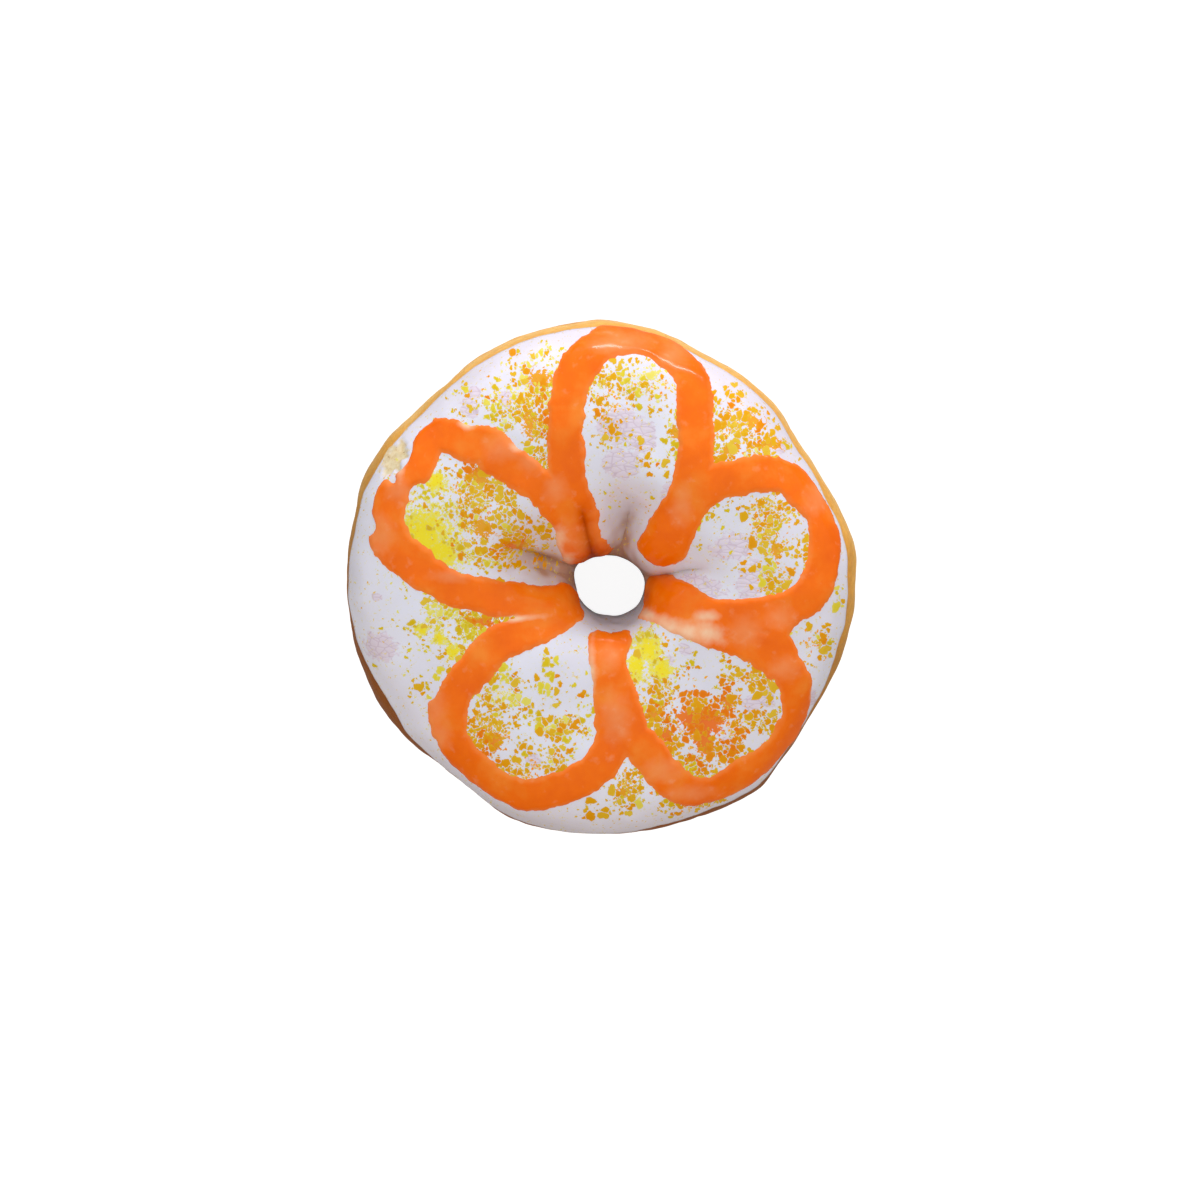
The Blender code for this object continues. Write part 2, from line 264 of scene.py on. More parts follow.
# Darker towards the front and the left: painted shade on the side away from the light, and partly deeper browning
# there.
side = add(tree, "ShaderNodeMath", {1: -0.35}, {0: apart.outputs["X"]}, operation="MULTIPLY")
side = add(tree, "ShaderNodeMath", links={0: side.outputs[0], 1: apart.outputs["Y"]}, operation="SUBTRACT")
front_shade_and_browning = add(
    tree, "ShaderNodeMapRange", {"From Min": -0.018, "From Max": 0.026, "To Max": 0.95}, {"Value": side.outputs[0]}
)
browned_and_shaded = add(
    tree, "ShaderNodeMix", {7: tint("#94500E")}, {0: front_shade_and_browning.outputs[0], 6: baked.outputs["Color"]}, data_type="RGBA"
)
speckle = add(
    tree, "ShaderNodeMapRange", {"From Min": 0.35, "From Max": 0.75, "To Min": 0.84, "To Max": 1.1},
    {"Value": grain.outputs["Fac"]},
)
crust = add(
    tree, "ShaderNodeMix", {0: 1.0}, {6: browned_and_shaded.outputs[2], 7: speckle.outputs[0]}, data_type="RGBA",
    blend_type="MULTIPLY",
)
tree.links.new(crust.outputs[2], shader.inputs["Base Color"])
pores = add(tree, "ShaderNodeBump", {"Strength": 0.5, "Distance": 0.0004}, {"Height": grain.outputs["Fac"]})
tree.links.new(pores.outputs[0], shader.inputs["Normal"])
shader.inputs["Roughness"].default_value = 0.48
shader.inputs["Specular IOR Level"].default_value = 0.2
shader.inputs["Subsurface Weight"].default_value = 0.12
shader.inputs["Subsurface Radius"].default_value = (0.9, 0.45, 0.2)
shader.inputs["Subsurface Scale"].default_value = 0.001

# The white icing: sugar icing that the top of the ring was dipped in, about 1 mm thick, set with a skin. It rounds
# to a lip at its edge, runs down the wall of the hole, and has one torn place at the rim that bares the crumb.
ICING = 1.0
GAP = 0.3
LIP_LENGTH = 2.2
ICING_COLUMNS, ICING_TOP, ICING_UNDER = 500, 122, 26
ACROSS = 62.0  # mm over the ring, from one edge of the icing to the other
CROWDING = 0.035  # how much closer the rows lie at the edges
TORN_AT, TORN_SIZE = (-39.2, 26.0), (1.8, 3.4)


def cover(points, angle, from_edge):
    """How far the icing's face stands off the dough, in mm, at these places of the dough's surface."""
    bead = np.sqrt(1.0 - (1.0 - np.clip(from_edge / LIP_LENGTH, 0.0, 1.0)) ** 2)
    swells = 0.16 * ripple(points, 13.0, 21) + 0.05 * ripple(points, 4.5, 22)
    return 0.15 + 0.5 * bead + (GAP + ICING - 0.65 + swells) * ease(from_edge, 1.0, 9.0)


def evened(angle, start, end, share):
    """The sweep at each share of the way from start to end, measured along the dough's surface of its column."""
    step = np.linspace(0.005, 0.995, 80)
    slope = step / (1.0 - step)
    turns, first, column = np.unique(np.round(angle, 5), return_index=True, return_inverse=True)
    sweeps = np.zeros_like(share)
    for index, turn in enumerate(turns):
        fine = np.concatenate([
            np.arctan(slope ** (SHOULDER / 2.0)), math.pi - np.arctan(slope[::-1] ** (around(LIP, turn) / 2.0)),
            math.pi + np.arctan(slope ** (THROAT / 2.0)),
        ])
        low, high = start[first[index]], end[first[index]]
        fine = np.concatenate([[low], fine[(fine > low) & (fine < high)], [high]])
        along = np.linalg.norm(np.diff(skin(turn, fine), axis=0), axis=1)
        reach = np.concatenate([[0.0], np.cumsum(along)])
        sweeps[column == index] = np.interp(share[column == index], reach / reach[-1], fine)
    return sweeps


def torn(points):
    """1 in the torn place, 0 outside it, with a ragged border."""
    across, along = points[:, 0] - TORN_AT[0], points[:, 1] - TORN_AT[1]
    lean = math.radians(-35)
    out = (across * math.cos(lean) + along * math.sin(lean)) / TORN_SIZE[0]
    over = (along * math.cos(lean) - across * math.sin(lean)) / TORN_SIZE[1]
    ragged = 0.16 * ripple(points, 2.2, 31) + 0.1 * ripple(points, 1.0, 32)
    return np.where(points[:, 2] > WAIST, 1.0 - ease(np.hypot(out, over) + ragged, 0.86, 1.02), 0.0)


icing, column, row = spun_ring("white_icing", ICING_COLUMNS, ICING_TOP + ICING_UNDER)
angle = column * 2 * math.pi / ICING_COLUMNS
outside, inside = edges_of_icing(angle)
below = row >= ICING_TOP
share = np.clip(row / (ICING_TOP - 1.0), 0.0, 1.0)
share = share - CROWDING * np.sin(2 * math.pi * share)
back = 1.0 - (row - ICING_TOP + 1.0) / (ICING_UNDER + 1.0)
sweep = evened(angle, outside, inside, np.where(below, back, share))
share = (sweep - outside) / (inside - outside)
points = skin(angle, sweep)
up = outward(angle, sweep)
from_edge = np.minimum(share, 1.0 - share) * ACROSS
depth = np.where(below, 0.1 + (GAP - 0.1) * ease(from_edge, 0.0, 5.0), cover(points, angle, from_edge))
gone = torn(points)
crumb = 0.1 * ripple(points, 1.1, 33) + 0.07 * ripple(points, 0.7, 34)
depth = np.where(below, depth, depth + gone * (GAP + 0.2 + crumb - depth))
place(icing, points + up * depth[:, None])
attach(icing, "root")
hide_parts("icing")


def near(points, spots):
    """The strongest of some soft round spots, (x, y, half width, half height), at these places."""
    strongest = np.zeros(len(points))
    for x, y, wide, high in spots:
        away = np.hypot((points[:, 0] - x) / wide, (points[:, 1] - y) / high)
        strongest = np.maximum(strongest, np.exp(-(away**2)))
    return strongest


LEMON = (  # yellow clouds of melted powder
    (-33.6, 12.4, 4.6, 5.6), (-31.5, 9.6, 4.5, 4.0), (-31.4, 22.6, 1.9, 1.8), (7.4, -8.8, 2.6, 2.3),
    (9.6, -12.0, 2.0, 2.0), (4.9, -11.6, 1.5, 2.6), (-31.0, -6.2, 1.3, 1.2), (-28.6, -8.4, 1.6, 1.3),
    (-34.2, -4.6, 1.2, 1.1),
)
CRACKLE = (  # patches of wrinkled skin
    (-41.5, -8.0, 3.6, 3.2), (2.0, 33.0, 4.6, 3.6), (6.0, 31.0, 3.0, 4.0), (2.5, 26.5, 4.5, 3.0),
    (22.6, 11.0, 4.2, 3.2), (17.5, 2.6, 4.6, 2.4), (26.0, 4.6, 3.0, 4.4), (26.4, -18.2, 2.1, 1.9),
    (22.0, -26.0, 1.9, 1.7), (-25.0, 35.4, 2.0, 2.0), (-18.5, 37.4, 1.5, 1.6), (-13.8, 40.4, 1.4, 1.5),
    (-13.8, -28.8, 1.7, 1.5), (11.0, -10.4, 1.3, 1.1), (14.2, -8.4, 1.5, 1.2), (-24.0, 38.0, 1.4, 1.2),
    (29.0, -17.0, 1.6, 2.6), (-42.0, 1.2, 1.2, 0.8), (31.0, 28.0, 1.6, 1.2), (36.6, -17.8, 1.6, 2.2),
    (11.5, 20.5, 2.0, 3.0), (-8.0, 30.0, 1.2, 2.0), (14.8, -5.6, 2.2, 1.0),
)
DUST = (  # where the fine powder fell
    (6.0, 40.5, 8.0, 3.6), (-11.0, 35.0, 4.5, 6.0), (-16.0, 38.5, 6.0, 2.6), (23.6, 31.0, 5.0, 6.0),
    (29.5, 15.0, 5.0, 8.0), (30.0, 5.0, 4.0, 4.0), (18.0, -21.5, 8.0, 6.5), (8.0, -18.5, 4.0, 4.5),
    (9.5, -25.0, 4.0, 3.5), (27.0, -14.0, 4.0, 3.0), (14.0, -33.0, 6.0, 3.0), (-22.5, -24.0, 4.5, 5.0),
    (-19.4, -16.5, 3.6, 3.6), (-9.4, -23.0, 4.5, 3.0), (-14.6, -31.0, 6.0, 3.0), (-17.5, 11.5, 5.5, 3.2),
    (-22.8, 22.0, 5.0, 6.0), (-27.0, 16.0, 4.5, 7.0), (-25.0, -3.2, 6.0, 3.6), (3.2, -33.0, 3.0, 5.0),
    (-27.0, 21.0, 3.0, 3.0), (0.0, 38.0, 4.0, 5.0), (37.5, -7.0, 3.0, 3.0), (-33.5, 13.0, 5.0, 6.0),
    (15.5, -37.8, 4.0, 1.6), (8.0, -12.5, 5.0, 5.5), (17.0, 22.0, 2.0, 3.0),
)
POOLS = (  # amber pools of melted powder
    (17.6, -21.8, 3.4, 2.8), (17.5, -25.6, 1.7, 2.6), (14.4, -20.8, 2.0, 1.3), (10.3, -24.2, 1.5, 1.7),
    (21.8, -18.4, 1.0, 1.1), (-23.6, 24.0, 1.9, 1.7), (-23.2, 14.6, 1.6, 1.7), (-17.8, 11.4, 2.6, 1.0),
    (-24.0, -3.2, 2.8, 1.1), (-14.4, 33.6, 1.2, 2.4), (-12.6, 41.0, 2.0, 1.3), (29.0, 28.8, 2.6, 0.9),
    (22.0, 28.6, 1.6, 1.0), (25.6, 33.0, 1.2, 1.2), (-20.6, -25.4, 1.3, 1.5), (30.6, 10.4, 1.2, 1.4),
    (8.2, -20.4, 1.2, 1.4), (12.2, 31.6, 0.9, 1.3), (2.6, -34.6, 0.8, 1.2),
)
FAIR = (  # where the fine powder is more yellow than gold
    (6.0, 42.0, 7.0, 2.4), (-17.0, 38.5, 6.0, 2.6), (-11.0, 43.0, 4.0, 2.0), (-31.0, 15.0, 5.0, 6.0),
    (-26.0, -4.0, 4.0, 2.5), (-31.0, -2.0, 3.4, 3.0), (-19.5, -16.5, 3.5, 3.0), (-9.0, -23.0, 4.0, 2.0),
    (8.0, -12.0, 4.0, 4.4), (-28.0, -7.6, 3.0, 2.5), (-31.0, 24.0, 3.0, 3.0), (22.0, 30.0, 3.0, 1.4),
)
STRONG = (  # where the gold is deepest
    (17.0, -22.0, 9.0, 7.5), (9.5, -25.5, 4.0, 4.0), (-23.0, -27.0, 3.0, 4.0), (-11.5, 32.0, 2.0, 5.0),
    (-25.0, 26.0, 3.0, 2.0), (-19.6, 11.6, 3.0, 1.5), (-22.0, -3.0, 3.0, 1.4),
)
for name, spots in (
    ("lemon", LEMON), ("crackle", CRACKLE), ("dust", DUST), ("pool", POOLS), ("fair", FAIR), ("strong", STRONG),
):
    record(icing, name, near(points, spots) * ~below)
record(icing, "torn", gone * ~below)
# Thin places and painted shade: in the valleys and folds at the hole, and down its wall, the icing is thin and the
# crust shows through it. The same tan is also painted there as the shade that falls in them.
thinness_and_shade = 0.7 * ease(-np.cos(sweep), 0.8, 0.99) + 1.1 * around(VALLEYS, angle) * ease(-np.cos(sweep), 0.42, 0.8)
thinness_and_shade = thinness_and_shade + 0.55 * near(points, ((-12.0, 5.6, 4.0, 2.6), (-16.0, 7.0, 4.0, 1.6)))
thinness_and_shade = thinness_and_shade + 0.3 * pinched(points[:, 0], points[:, 1])
thinness_and_shade = thinness_and_shade * (1.0 + 0.25 * ripple(points, 3.0, 35)) * (0.05 + 0.95 * ease(np.sin(angle), -0.5, 0.2))
record(icing, "thin_icing_and_shade", np.clip(thinness_and_shade, 0.0, 1.0) * (np.cos(sweep) < 0) * ~below)

# Set sugar icing: icing sugar and water with a glossy skin, a cool white. The skin has wrinkled in lilac patches
# where it dried too soon, and fine colour powder has melted into it as a yellow mottle with white veins.
tree, shader = finish("set_sugar_icing", icing)
where = add(tree, "ShaderNodeTexCoord").outputs["Object"]
lemon, crackle, dust, pool, fair, strong, bared, thin_icing_and_shade = (
    add(tree, "ShaderNodeAttribute", attribute_name=name).outputs["Fac"]
    for name in ("lemon", "crackle", "dust", "pool", "fair", "strong", "torn", "thin_icing_and_shade")
)
cloud = add(tree, "ShaderNodeTexNoise", {"Scale": 45.0, "Detail": 3.0}, {"Vector": where})
white = add(
    tree, "ShaderNodeValToRGB", links={"Fac": cloud.outputs["Fac"]},
    stops=[(0.35, tint("#E4E2E9")), (0.65, tint("#ECEDF5"))],
)
# Painted shade: the white goes to tan in the hole, its valleys and folds. This is partly thin icing over the crust and
# partly shade.
thin_and_shaded = add(
    tree, "ShaderNodeMix", {7: tint("#C2957A")}, {0: thin_icing_and_shade, 6: white.outputs["Color"]}, data_type="RGBA",
)
# Wrinkled skin: flat creases 0.9 mm apart and 1.8 mm long, in patches with a ragged border. The lilac patches have
# their crease lines painted darker, as painted shade in the creases.
ragged = add(tree, "ShaderNodeTexNoise", {"Scale": 900.0, "Detail": 3.0, "Roughness": 0.6}, {"Vector": where})
patch = add(tree, "ShaderNodeMath", {1: 0.5}, {0: ragged.outputs["Fac"]}, operation="SUBTRACT")
patch = add(tree, "ShaderNodeMath", links={0: patch.outputs[0], 1: crackle}, operation="ADD")
patch = add(tree, "ShaderNodeMapRange", {"From Min": 0.44, "From Max": 0.56}, {"Value": patch.outputs[0]})
squeezed = add(tree, "ShaderNodeMapping", {"Scale": (1.0, 2.0, 1.0)}, {"Vector": where})
wrinkle = add(
    tree, "ShaderNodeTexVoronoi", {"Scale": 560.0}, {"Vector": squeezed.outputs[0]}, feature="DISTANCE_TO_EDGE"
)
lilac_with_crease_shade = add(
    tree, "ShaderNodeValToRGB", links={"Fac": wrinkle.outputs["Distance"]},
    stops=[(0.0, tint("#D3C1CC")), (0.12, tint("#E6DAE3")), (0.05, tint("#DFD1DB"))],
)
skinned = add(
    tree, "ShaderNodeMix", links={0: patch.outputs[0], 6: thin_and_shaded.outputs[2], 7: lilac_with_crease_shade.outputs["Color"]},
    data_type="RGBA",
)
# Mottle: cells of 0.5 mm, each coloured or left white by its own draw against the dusting, with a white vein between.
bent = add(tree, "ShaderNodeTexNoise", {"Scale": 1100.0, "Detail": 2.0}, {"Vector": where})
moved = add(tree, "ShaderNodeVectorMath", {1: (0.0007,) * 3}, {0: bent.outputs["Color"]}, operation="MULTIPLY")
moved = add(tree, "ShaderNodeVectorMath", links={0: moved.outputs[0], 1: where}, operation="ADD")
cells = add(tree, "ShaderNodeTexVoronoi", {"Scale": 1900.0}, {"Vector": moved.outputs[0]})
veins = add(tree, "ShaderNodeTexVoronoi", {"Scale": 1900.0}, {"Vector": moved.outputs[0]}, feature="DISTANCE_TO_EDGE")
drawn = add(tree, "ShaderNodeSeparateColor", links={"Color": cells.outputs["Color"]})
heavy = add(tree, "ShaderNodeTexNoise", {"Scale": 420.0, "Detail": 2.0}, {"Vector": where})
heavy = add(tree, "ShaderNodeMath", {1: 1.5, 2: -0.75}, {0: heavy.outputs["Fac"]}, operation="MULTIPLY_ADD")
amount = add(tree, "ShaderNodeMath", {1: 0.5}, {0: dust}, operation="MULTIPLY")
heavy = add(tree, "ShaderNodeMath", {1: 0.6}, {0: heavy.outputs[0], 2: amount.outputs[0]}, operation="MULTIPLY_ADD")
heavy = add(tree, "ShaderNodeMath", links={0: heavy.outputs[0], 1: dust}, operation="MULTIPLY")
filled = add(tree, "ShaderNodeMath", links={0: drawn.outputs[0], 1: heavy.outputs[0]}, operation="LESS_THAN")
veined = add(tree, "ShaderNodeMapRange", {"From Min": 0.03, "From Max": 0.12}, {"Value": veins.outputs["Distance"]})
mottle = add(tree, "ShaderNodeMath", links={0: filled.outputs[0], 1: veined.outputs[0]}, operation="MULTIPLY")
shade = add(tree, "ShaderNodeMath", {1: 0.55, 2: -0.1}, {0: drawn.outputs[1]}, operation="MULTIPLY_ADD")
shade = add(tree, "ShaderNodeMath", {1: 0.6}, {0: fair, 2: shade.outputs[0]}, operation="MULTIPLY_ADD")
powder = add(
    tree, "ShaderNodeValToRGB", links={"Fac": shade.outputs[0]},
    stops=[(0.0, tint("#FA9E00")), (1.0, tint("#F4EEA4")), (0.3, tint("#F8B820")), (0.6, tint("#F4E250"))],
)
dusted = add(
    tree, "ShaderNodeMix", links={0: mottle.outputs[0], 6: skinned.outputs[2], 7: powder.outputs["Color"]},
    data_type="RGBA",
)
# Yellow clouds and amber pools: powder melted together, solid in the middle, with a border broken into grains.
broken = add(tree, "ShaderNodeTexNoise", {"Scale": 1300.0, "Detail": 3.0, "Roughness": 0.7}, {"Vector": where})
broken = add(tree, "ShaderNodeMath", {1: 2.3, 2: -1.15}, {0: broken.outputs["Fac"]}, operation="MULTIPLY_ADD")
edge = add(tree, "ShaderNodeMath", links={0: lemon, 1: broken.outputs[0]}, operation="ADD")
pale = add(tree, "ShaderNodeMapRange", {"From Min": 0.22, "From Max": 0.42}, {"Value": edge.outputs[0]})
melted = add(tree, "ShaderNodeMapRange", {"From Min": 0.36, "From Max": 0.84}, {"Value": edge.outputs[0]})
lemon_color = add(
    tree, "ShaderNodeMix", {6: tint("#ECE468"), 7: tint("#F8E400")}, {0: melted.outputs[0]}, data_type="RGBA",
)
yellowed = add(
    tree, "ShaderNodeMix", links={0: pale.outputs[0], 6: dusted.outputs[2], 7: lemon_color.outputs[2]},
    data_type="RGBA",
)
edge = add(tree, "ShaderNodeMath", links={0: pool, 1: broken.outputs[0]}, operation="ADD")
amber = add(tree, "ShaderNodeMapRange", {"From Min": 0.36, "From Max": 0.42}, {"Value": edge.outputs[0]})
amber_color = add(tree, "ShaderNodeMix", {6: tint("#EEA608"), 7: tint("#F47200")}, {0: strong}, data_type="RGBA")
amber_pools_and_fold_shade = add(
    tree, "ShaderNodeMix", links={0: amber.outputs[0], 6: yellowed.outputs[2], 7: amber_color.outputs[2]},
    data_type="RGBA",
)
# The torn place: pale crumb with brown bits of crust along one side.
crumbs = add(tree, "ShaderNodeTexNoise", {"Scale": 1100.0, "Detail": 4.0, "Roughness": 0.7}, {"Vector": where})
crumb_color = add(
    tree, "ShaderNodeValToRGB", links={"Fac": crumbs.outputs["Fac"]},
    stops=[(0.28, tint("#9A6A34")), (0.55, tint("#F0E0B4")), (0.38, tint("#E6CE98"))],
)
surface = add(
    tree, "ShaderNodeMix", links={0: bared, 6: amber_pools_and_fold_shade.outputs[2], 7: crumb_color.outputs["Color"]}, data_type="RGBA",
)
tree.links.new(surface.outputs[2], shader.inputs["Base Color"])
gloss = add(tree, "ShaderNodeMapRange", {"To Min": 0.14, "To Max": 0.6}, {"Value": bared})
tree.links.new(gloss.outputs[0], shader.inputs["Roughness"])
folds = add(tree, "ShaderNodeMath", links={0: wrinkle.outputs["Distance"], 1: patch.outputs[0]}, operation="MULTIPLY")
wrinkles = add(tree, "ShaderNodeBump", {"Strength": 0.5, "Distance": 0.0002}, {"Height": folds.outputs[0]})
orange_peel = add(tree, "ShaderNodeTexNoise", {"Scale": 260.0, "Detail": 2.0}, {"Vector": where})
skin_bump = add(
    tree, "ShaderNodeBump", {"Strength": 0.12, "Distance": 0.0002},
    {"Height": orange_peel.outputs["Fac"], "Normal": wrinkles.outputs[0]},
)
tree.links.new(skin_bump.outputs[0], shader.inputs["Normal"])
shader.inputs["Specular IOR Level"].default_value = 0.35
shader.inputs["Coat Weight"].default_value = 0.15
shader.inputs["Coat Roughness"].default_value = 0.05
shader.inputs["Subsurface Weight"].default_value = 0.15
shader.inputs["Subsurface Radius"].default_value = (1.0, 0.9, 0.8)
shader.inputs["Subsurface Scale"].default_value = 0.0004

# The piped line: orange icing run out of a bag in five petals, each from the hole out to the rim and back. Laid
# while the white was wet, it has spread to about 6.6 mm, sunk in, and run together where two petals meet.
PETALS = {
    "top": (
        (-3.6, 8.6), (-4.9, 11.4), (-5.9, 17.2), (-7.4, 22.9), (-8.0, 28.2), (-7.8, 35.2), (-6.9, 40.3), (-5.0, 44.0),
        (-1.5, 46.6), (3.2, 47.4), (8.0, 46.4), (11.6, 44.6), (14.4, 42.2), (15.4, 39.1), (15.5, 35.1),
        (15.9, 31.0), (15.8, 26.5), (14.2, 21.1), (11.8, 16.3), (9.8, 11.4), (9.4, 9.9),
    ),
    "right": (
        (11.2, 10.2), (14.0, 16.0), (16.6, 20.2), (20.2, 22.9), (24.4, 23.8), (27.8, 24.1), (31.1, 23.5),
        (34.2, 21.4), (36.6, 18.8), (38.4, 16.0), (39.6, 12.0), (39.6, 9.0), (38.8, 6.0), (37.4, 3.2),
        (35.0, 0.8), (32.2, -0.9), (29.0, -1.7), (25.4, -2.0), (21.2, -1.9), (17.0, -1.0), (13.2, 0.4), (10.0, 0.9),
        (8.7, 0.7),
    ),
    "lower right": (
        (8.5, -2.0), (12.8, -2.6), (16.5, -3.6), (20.0, -5.0), (23.5, -6.4), (27.6, -8.0), (31.0, -10.2),
        (33.4, -13.3), (34.2, -17.2), (33.9, -21.0), (32.2, -24.8), (30.0, -27.6), (27.2, -30.2), (24.0, -32.2),
        (20.4, -34.0), (16.6, -34.8), (13.0, -33.8), (9.8, -31.0), (6.9, -28.0), (4.5, -24.2), (2.9, -20.0),
        (1.4, -15.6), (0.4, -11.6), (0.6, -8.6),
    ),
    "lower left": (
        (-0.6, -8.6), (0.3, -13.6), (0.7, -19.1), (0.6, -24.2), (-0.6, -28.2), (-2.9, -30.9), (-6.2, -32.9),
        (-10.0, -34.2), (-14.2, -35.1), (-18.1, -34.4), (-21.6, -32.5), (-24.8, -30.0), (-27.4, -26.9),
        (-29.0, -23.4), (-29.2, -19.4), (-27.8, -16.0), (-26.0, -13.2), (-23.7, -10.2), (-20.9, -7.6),
        (-17.4, -6.0), (-13.5, -4.9), (-9.6, -3.4), (-7.9, -2.6),
    ),
    "left": (
        (-8.3, -0.6), (-12.6, -0.2), (-16.3, 0.2), (-20.9, 1.0), (-25.1, 2.2), (-28.9, 3.4), (-32.4, 4.8),
        (-35.5, 6.6), (-38.3, 9.0), (-40.3, 12.2), (-40.5, 15.6), (-39.6, 18.6), (-37.8, 21.4), (-35.3, 24.4),
        (-33.5, 27.7), (-31.4, 30.3), (-28.6, 30.4), (-25.4, 29.6), (-22.3, 28.9), (-19.6, 27.5), (-16.8, 25.4),
        (-13.4, 22.8), (-10.2, 19.6), (-7.6, 15.8), (-6.0, 11.6), (-5.2, 8.6),
    ),
}
SPREADS = (  # x, y, radius, and how many mm the border is pushed out (or drawn in) there
    (-38.6, 26.4, 2.6, -5.0), (-43.2, 14.0, 1.2, -3.6), (-37.2, 31.4, 1.6, 0.8), (-35.2, 20.8, 1.8, -2.0),
    (-36.8, 15.5, 4.5, 1.1), (-34.0, 9.6, 3.2, 1.2), (-43.8, 22.6, 1.7, 1.4), (-36.0, 22.9, 2.0, 0.4),
    (-38.8, 22.2, 0.9, -2.4), (-39.0, 3.4, 2.4, -1.2), (-37.2, 17.3, 2.4, -0.8), (5.4, 10.2, 2.0, 1.2),
    (-43.6, 11.2, 1.6, 0.5), (-35.6, 33.4, 1.2, 0.5), (-21.5, 24.6, 2.4, 0.8), (-19.6, 32.4, 2.2, 0.7),
    (-25.8, 34.2, 1.2, -0.9), (0.4, 51.0, 3.6, 3.6), (5.6, 51.2, 3.8, 4.2), (10.6, 49.6, 3.4, 3.4),
    (11.0, 43.8, 2.4, 1.5), (-2.6, 43.6, 2.0, 0.6), (19.6, 40.5, 3.6, -0.7), (19.6, 15.8, 2.2, -1.1),
    (8.6, 20.8, 1.6, -0.7), (33.2, 18.4, 3.6, 0.7), (36.0, 10.6, 3.6, 0.7), (29.0, 28.6, 3.4, -0.4),
    (19.6, 2.6, 2.4, -1.2), (31.4, -6.2, 2.4, 2.6), (9.8, -26.2, 2.2, 0.8), (4.6, -11.4, 2.2, -0.8),
    (3.6, -6.4, 1.5, 1.4), (-2.9, -6.4, 1.6, 1.0), (1.5, -33.4, 1.5, -0.8), (-12.4, 3.8, 2.6, -1.0),
    (-8.8, 4.4, 1.8, -1.2), (-34.4, 0.8, 2.4, -0.9), (-11.6, 13.4, 2.4, -1.4), (0.9, 10.2, 1.6, 0.8),
    (37.4, -16.8, 1.2, -0.8), (-6.4, -1.0, 1.4, 0.9), (-32.6, -18.6, 1.2, 0.4), (-16.4, -38.4, 2.0, 0.5),
)
LINE_WIDTH = 6.6
LINE_RISE = 0.35
LINE_ROUND = 1.4  # mm over which its side rounds down
LINE_SUNK = 0.8  # mm that its mesh goes on past the border, under the skin of the white
LINE_COLUMNS, LINE_ROWS = 560, 150


def place_of(x, y):
    """The (angle, sweep) of the upper surface over a plan point."""
    angle, radius = np.arctan2(y, x), np.hypot(x, y)
    rim, hole = around(OUTLINE, angle), around(HOLE, angle)
    middle = hole + CROWN_AT * (rim - hole)
    outer = radius >= middle
    side = np.clip(np.where(outer, (radius - middle) / (rim - middle), (middle - radius) / (middle - hole)), 0, 0.995)
    square = np.where(outer, SHOULDER, around(LIP, angle))
    quarter = np.arccos(side ** (square / 2.0))
    return angle, np.where(outer, quarter, math.pi - quarter)


def through(knots, spacing):
    """Points at an even spacing along a smooth curve through the knots."""
    knots = np.array(knots)
    ends = np.concatenate([[2 * knots[0] - knots[1]], knots, [2 * knots[-1] - knots[-2]]])
    fine = []
    for before, start, end, after in zip(ends, ends[1:], ends[2:], ends[3:]):
        for share in np.linspace(0.0, 1.0, 16, endpoint=False):
            fine.append(
                0.5 * (2 * start + (end - before) * share
                       + (2 * before - 5 * start + 4 * end - after) * share**2
                       + (3 * start - before - 3 * end + after) * share**3)
            )
    fine = np.array(fine + [knots[-1]])
    reach = np.concatenate([[0.0], np.cumsum(np.linalg.norm(np.diff(fine, axis=0), axis=1))])
    wanted = np.linspace(0.0, reach[-1], round(reach[-1] / spacing) + 1)
    return np.stack([np.interp(wanted, reach, fine[:, axis]) for axis in range(2)], axis=-1)


spine = np.concatenate([through(knots, 0.5) for knots in PETALS.values()])
spine = skin(*place_of(spine[:, 0], spine[:, 1]))
spine_tree = mathutils.kdtree.KDTree(len(spine))
for index, spot in enumerate(spine):
    spine_tree.insert(spot, index)
spine_tree.balance()


def inside_line(points):
    """How far inside the border of the orange each place of the dough's surface is, in mm; outside it is minus."""
    away = np.array([spine_tree.find(point)[2] for point in points.tolist()])
    waver = 0.22 * ripple(points, 8.0, 41) + 0.18 * ripple(points, 2.6, 42) + 0.12 * ripple(points, 1.2, 43)
    for x, y, radius, pushed in SPREADS:
        waver = waver + pushed * np.exp(-((points[:, 0] - x) ** 2 + (points[:, 1] - y) ** 2) / radius**2)
    return LINE_WIDTH / 2 + waver - away


tool = bmesh.new()
bmesh.ops.create_grid(tool, x_segments=LINE_COLUMNS, y_segments=LINE_ROWS, size=1.0)
line_mesh = bpy.data.meshes.new("orange_icing")
tool.to_mesh(line_mesh)
tool.free()
flat = np.empty(len(line_mesh.vertices) * 3)
line_mesh.vertices.foreach_get("co", flat)
flat = flat.reshape(-1, 3)
angle = flat[:, 0] * math.pi
outside, inside = edges_of_icing(angle)
share = (flat[:, 1] + 1.0) / 2.0
share = share - CROWDING * np.sin(2 * math.pi * share)
sweep = evened(angle, outside + 0.02, 0.0 * angle + math.pi - 0.01, share)
points = skin(angle, sweep)
border = inside_line(points)
share = (sweep - outside) / (inside - outside)
base = cover(points, angle, np.minimum(share, 1.0 - share) * ACROSS)
grown = np.clip(border / LINE_ROUND, 0.0, 1.0)
rise = LINE_RISE * (1.0 - (1.0 - grown) ** 3) + 0.06 * ripple(points, 6.0, 44) * grown
rise = np.where(border < 0.0, border * 0.55, rise)
line = bpy.data.objects.new("orange_icing", line_mesh)
bpy.context.scene.collection.objects.link(line)
place(line, points + outward(angle, sweep) * (base + rise)[:, None])
record(line, "border", border)
